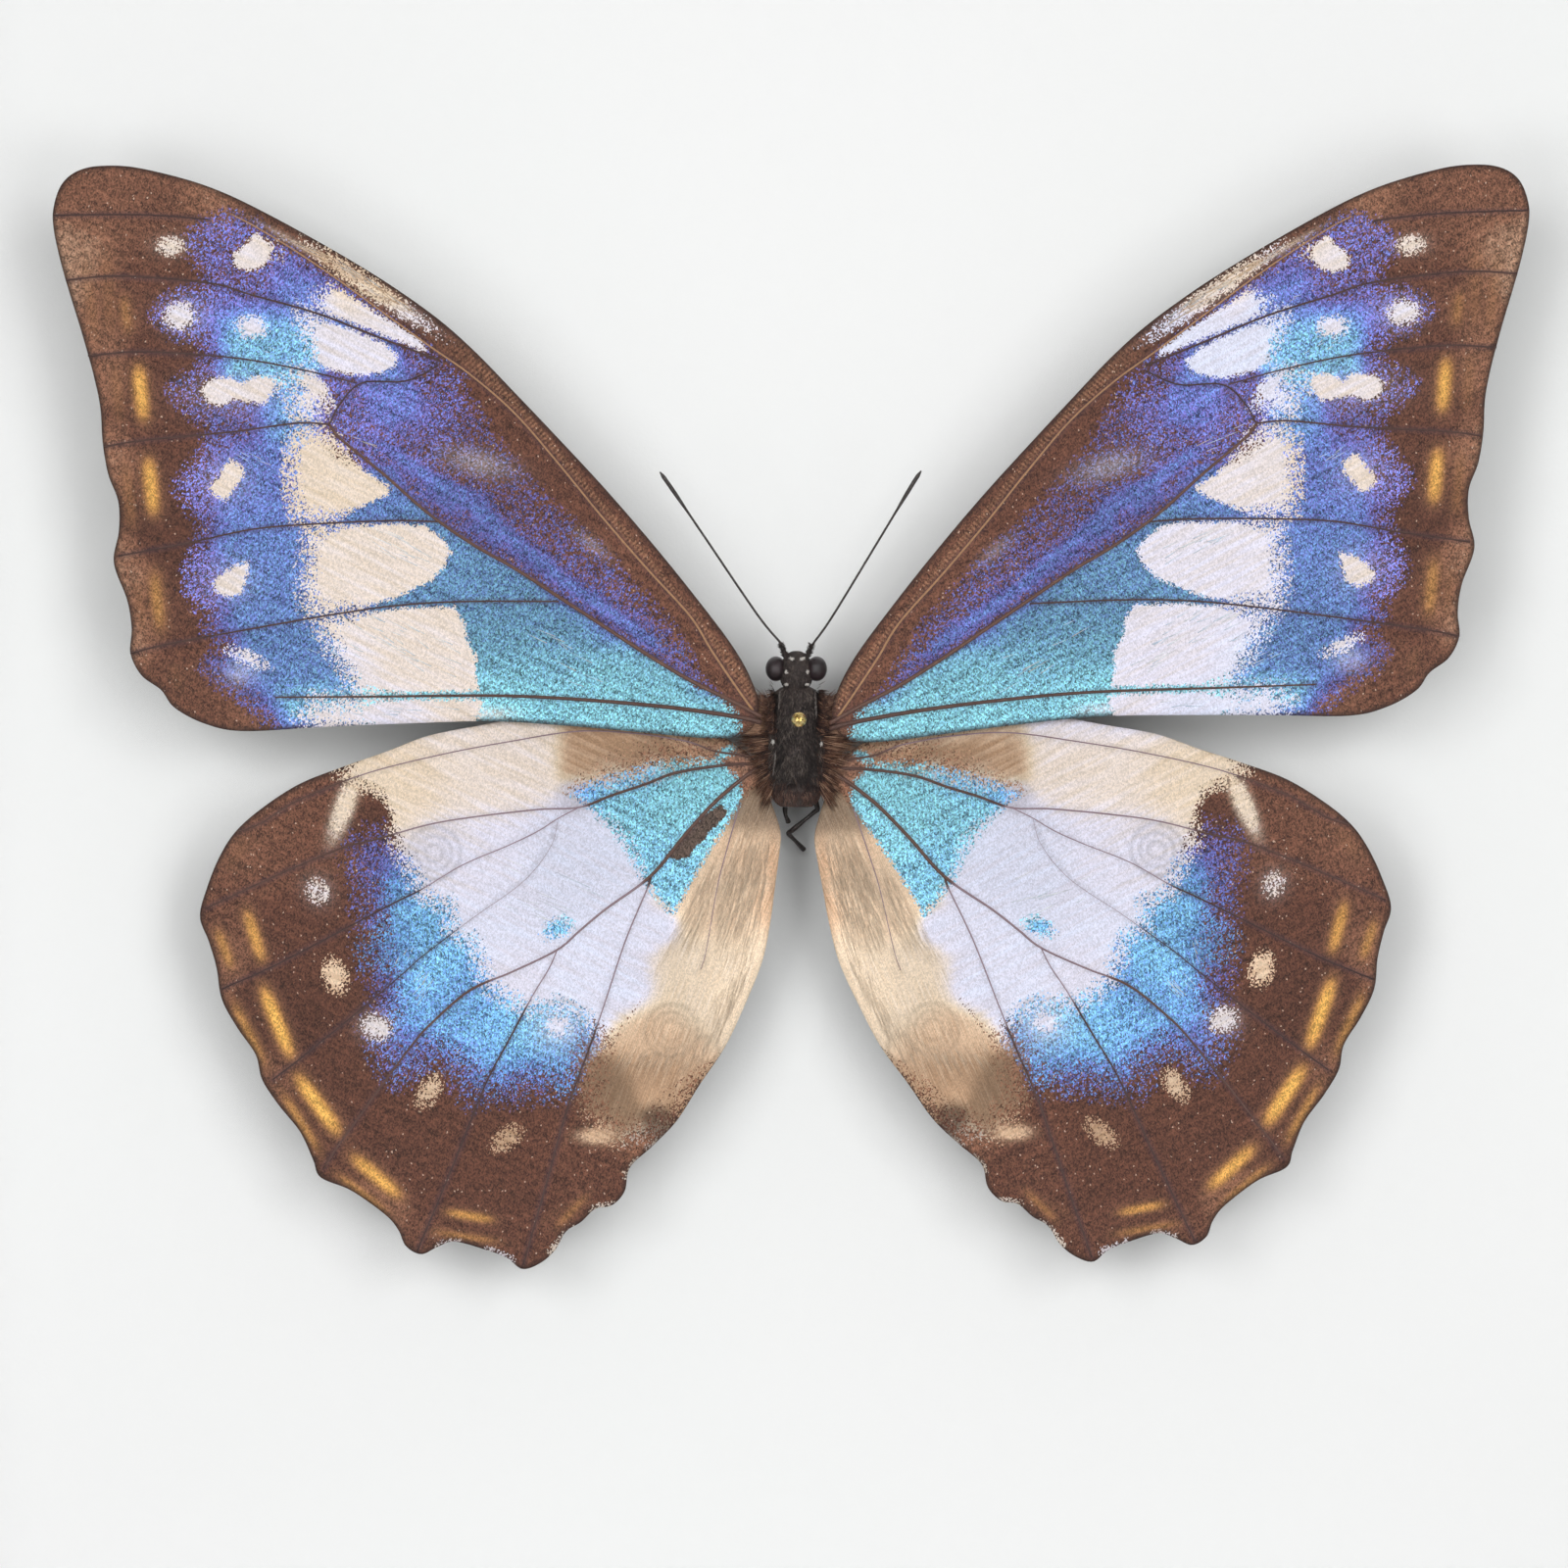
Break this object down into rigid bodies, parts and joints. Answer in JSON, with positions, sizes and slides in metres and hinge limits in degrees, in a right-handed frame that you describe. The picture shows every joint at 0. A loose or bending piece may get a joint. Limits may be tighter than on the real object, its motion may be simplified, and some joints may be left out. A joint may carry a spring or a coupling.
{
  "type": "framed butterfly specimen",
  "caption": "Set butterfly with blue, white and brown wings on a pin over a white board, behind glass in a square shadow-box frame.",
  "frame": {"origin": "on the pin's axis, in the plane of the frame's back", "axes": "+Z out of the board towards the glass, +Y towards the specimen's head (up on a wall), +X to the right in the picture"},
  "size_m": [0.21, 0.21, 0.04],
  "materials": {
    "painted_wood": "black stain, satin",
    "white_card": "white card on foam, matte",
    "glass": "clear",
    "back_fibreboard": "bare fibreboard, matte",
    "steel": "dull",
    "brass": "polished",
    "body_hair": "short hair, matte",
    "chitin": "dark, slightly shiny",
    "forewing_scales": "iridescent scales, satin",
    "hindwing_scales": "iridescent scales, satin"
  },
  "bodies": {
    "root": {"frame_rail_bottom": "painted_wood", "frame_rail_right": "painted_wood", "frame_rail_top": "painted_wood", "frame_rail_left": "painted_wood", "spacer_bottom": "white_card", "spacer_right": "white_card", "spacer_top": "white_card", "spacer_left": "white_card", "mounting_board": "white_card", "glass_pane": "glass", "back_panel": "back_fibreboard", "back_tab_top_left": "steel", "back_tab_top_right": "steel", "back_tab_bottom_left": "steel", "back_tab_bottom_right": "steel", "hanger_plate": "steel", "pin": "brass", "thorax": "body_hair", "head": "chitin", "antenna_left": "chitin", "antenna_right": "chitin", "hind_leg_bent": "chitin", "hind_leg_stub": "chitin", "forewing_left": "forewing_scales", "forewing_right": "forewing_scales", "hindwing_left": "hindwing_scales", "hindwing_right": "hindwing_scales"}
  },
  "joints": []
}
